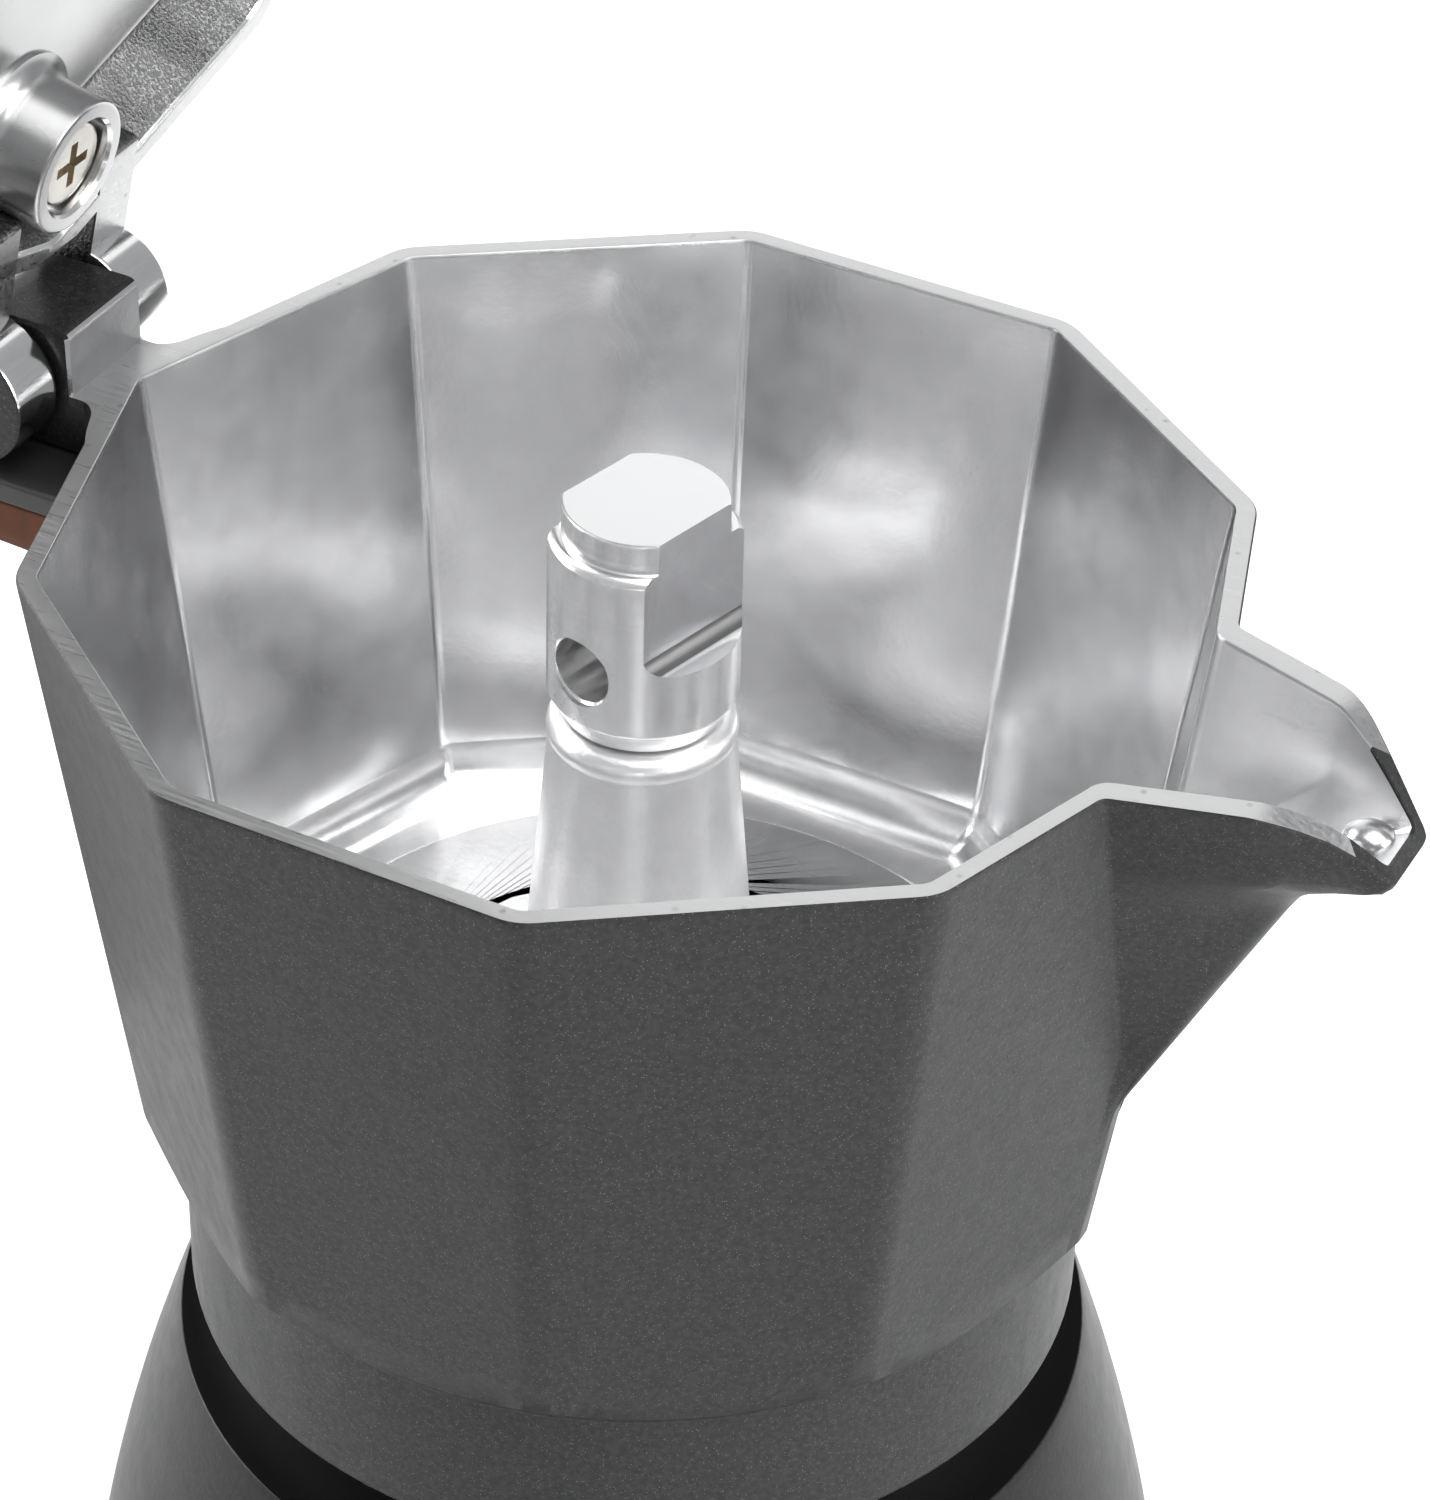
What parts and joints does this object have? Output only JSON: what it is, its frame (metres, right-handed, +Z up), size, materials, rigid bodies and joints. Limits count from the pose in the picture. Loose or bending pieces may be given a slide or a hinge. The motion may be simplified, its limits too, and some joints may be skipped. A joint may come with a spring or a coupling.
{
  "type": "stovetop coffee pot",
  "caption": "Faceted stovetop coffee pot in dark coated aluminium: screw-on upper chamber with spout and hinged lid, bell-shaped boiler, coffee funnel, side valve, strap handle.",
  "frame": {"origin": "centre of the boiler's flat base", "axes": "+Z up along the pot's axis, +X towards the spout, -X towards the lid's hinge and the handle"},
  "size_m": [0.169, 0.1138, 0.2692],
  "materials": {
    "graphite_coat": "dark grey powder coat with a fine sparkle, outside only",
    "cast_aluminium": "satin cast, bright on the ground edges",
    "turned_aluminium": "turned and polished",
    "sheet_aluminium": "pressed sheet, satin",
    "white_silicone": "matte",
    "red_silicone": "matte",
    "brass": "turned",
    "steel": "bright",
    "black_bracket": "matte black",
    "wood": "oiled brown"
  },
  "bodies": {
    "boiler": {"boiler": "graphite_coat", "valve_body": "brass", "valve_washer": "red_silicone", "valve_retainer": "turned_aluminium", "valve_spring": "steel"},
    "valve_pin": {"valve_pin": "steel"},
    "funnel": {"funnel_basket": "sheet_aluminium", "funnel_tube": "sheet_aluminium", "funnel_plate": "sheet_aluminium"},
    "seal": {"gasket": "white_silicone", "filter_plate": "sheet_aluminium"},
    "upper": {"upper_chamber": "graphite_coat", "column_cap": "turned_aluminium", "hinge_pin": "steel", "handle_strap": "black_bracket", "handle_grip": "wood", "handle_screw": "steel", "grip_screw_upper": "steel", "grip_screw_lower": "steel"},
    "lid": {"lid": "cast_aluminium", "knob": "wood", "knob_insert": "brass", "knob_screw": "steel"}
  },
  "joints": [
    {"name": "chamber_rise", "type": "slide", "parent": "boiler", "child": "seal", "axis": [0, 0, 1], "range_m": [0, 0.009]},
    {"name": "chamber_turn", "type": "hinge", "parent": "seal", "child": "upper", "pos_m": [0, 0, 0.09], "axis": [0, 0, 1], "range_deg": [0, 1080]},
    {"name": "lid_hinge", "type": "hinge", "parent": "upper", "child": "lid", "pos_m": [-0.0605, 0, 0.1508], "axis": [0, 1, 0], "range_deg": [-27, 78]},
    {"name": "funnel_lift", "type": "slide", "parent": "boiler", "child": "funnel", "axis": [0, 0, 1], "range_m": [0, 0.0045]},
    {"name": "valve_pin_lift", "type": "slide", "parent": "boiler", "child": "valve_pin", "axis": [0, 1, 0], "range_m": [0, 0.0008], "stiffness_N_per_m": 1500, "springref_m": -0.0025, "deforming": ["valve_spring"]}
  ],
  "couplings": [
    {"joint": "chamber_rise", "follows": "chamber_turn", "m_per_rad": 0.00047746},
    {"joint": "funnel_lift", "follows": "chamber_turn", "m_per_rad": 0.00023873}
  ]
}
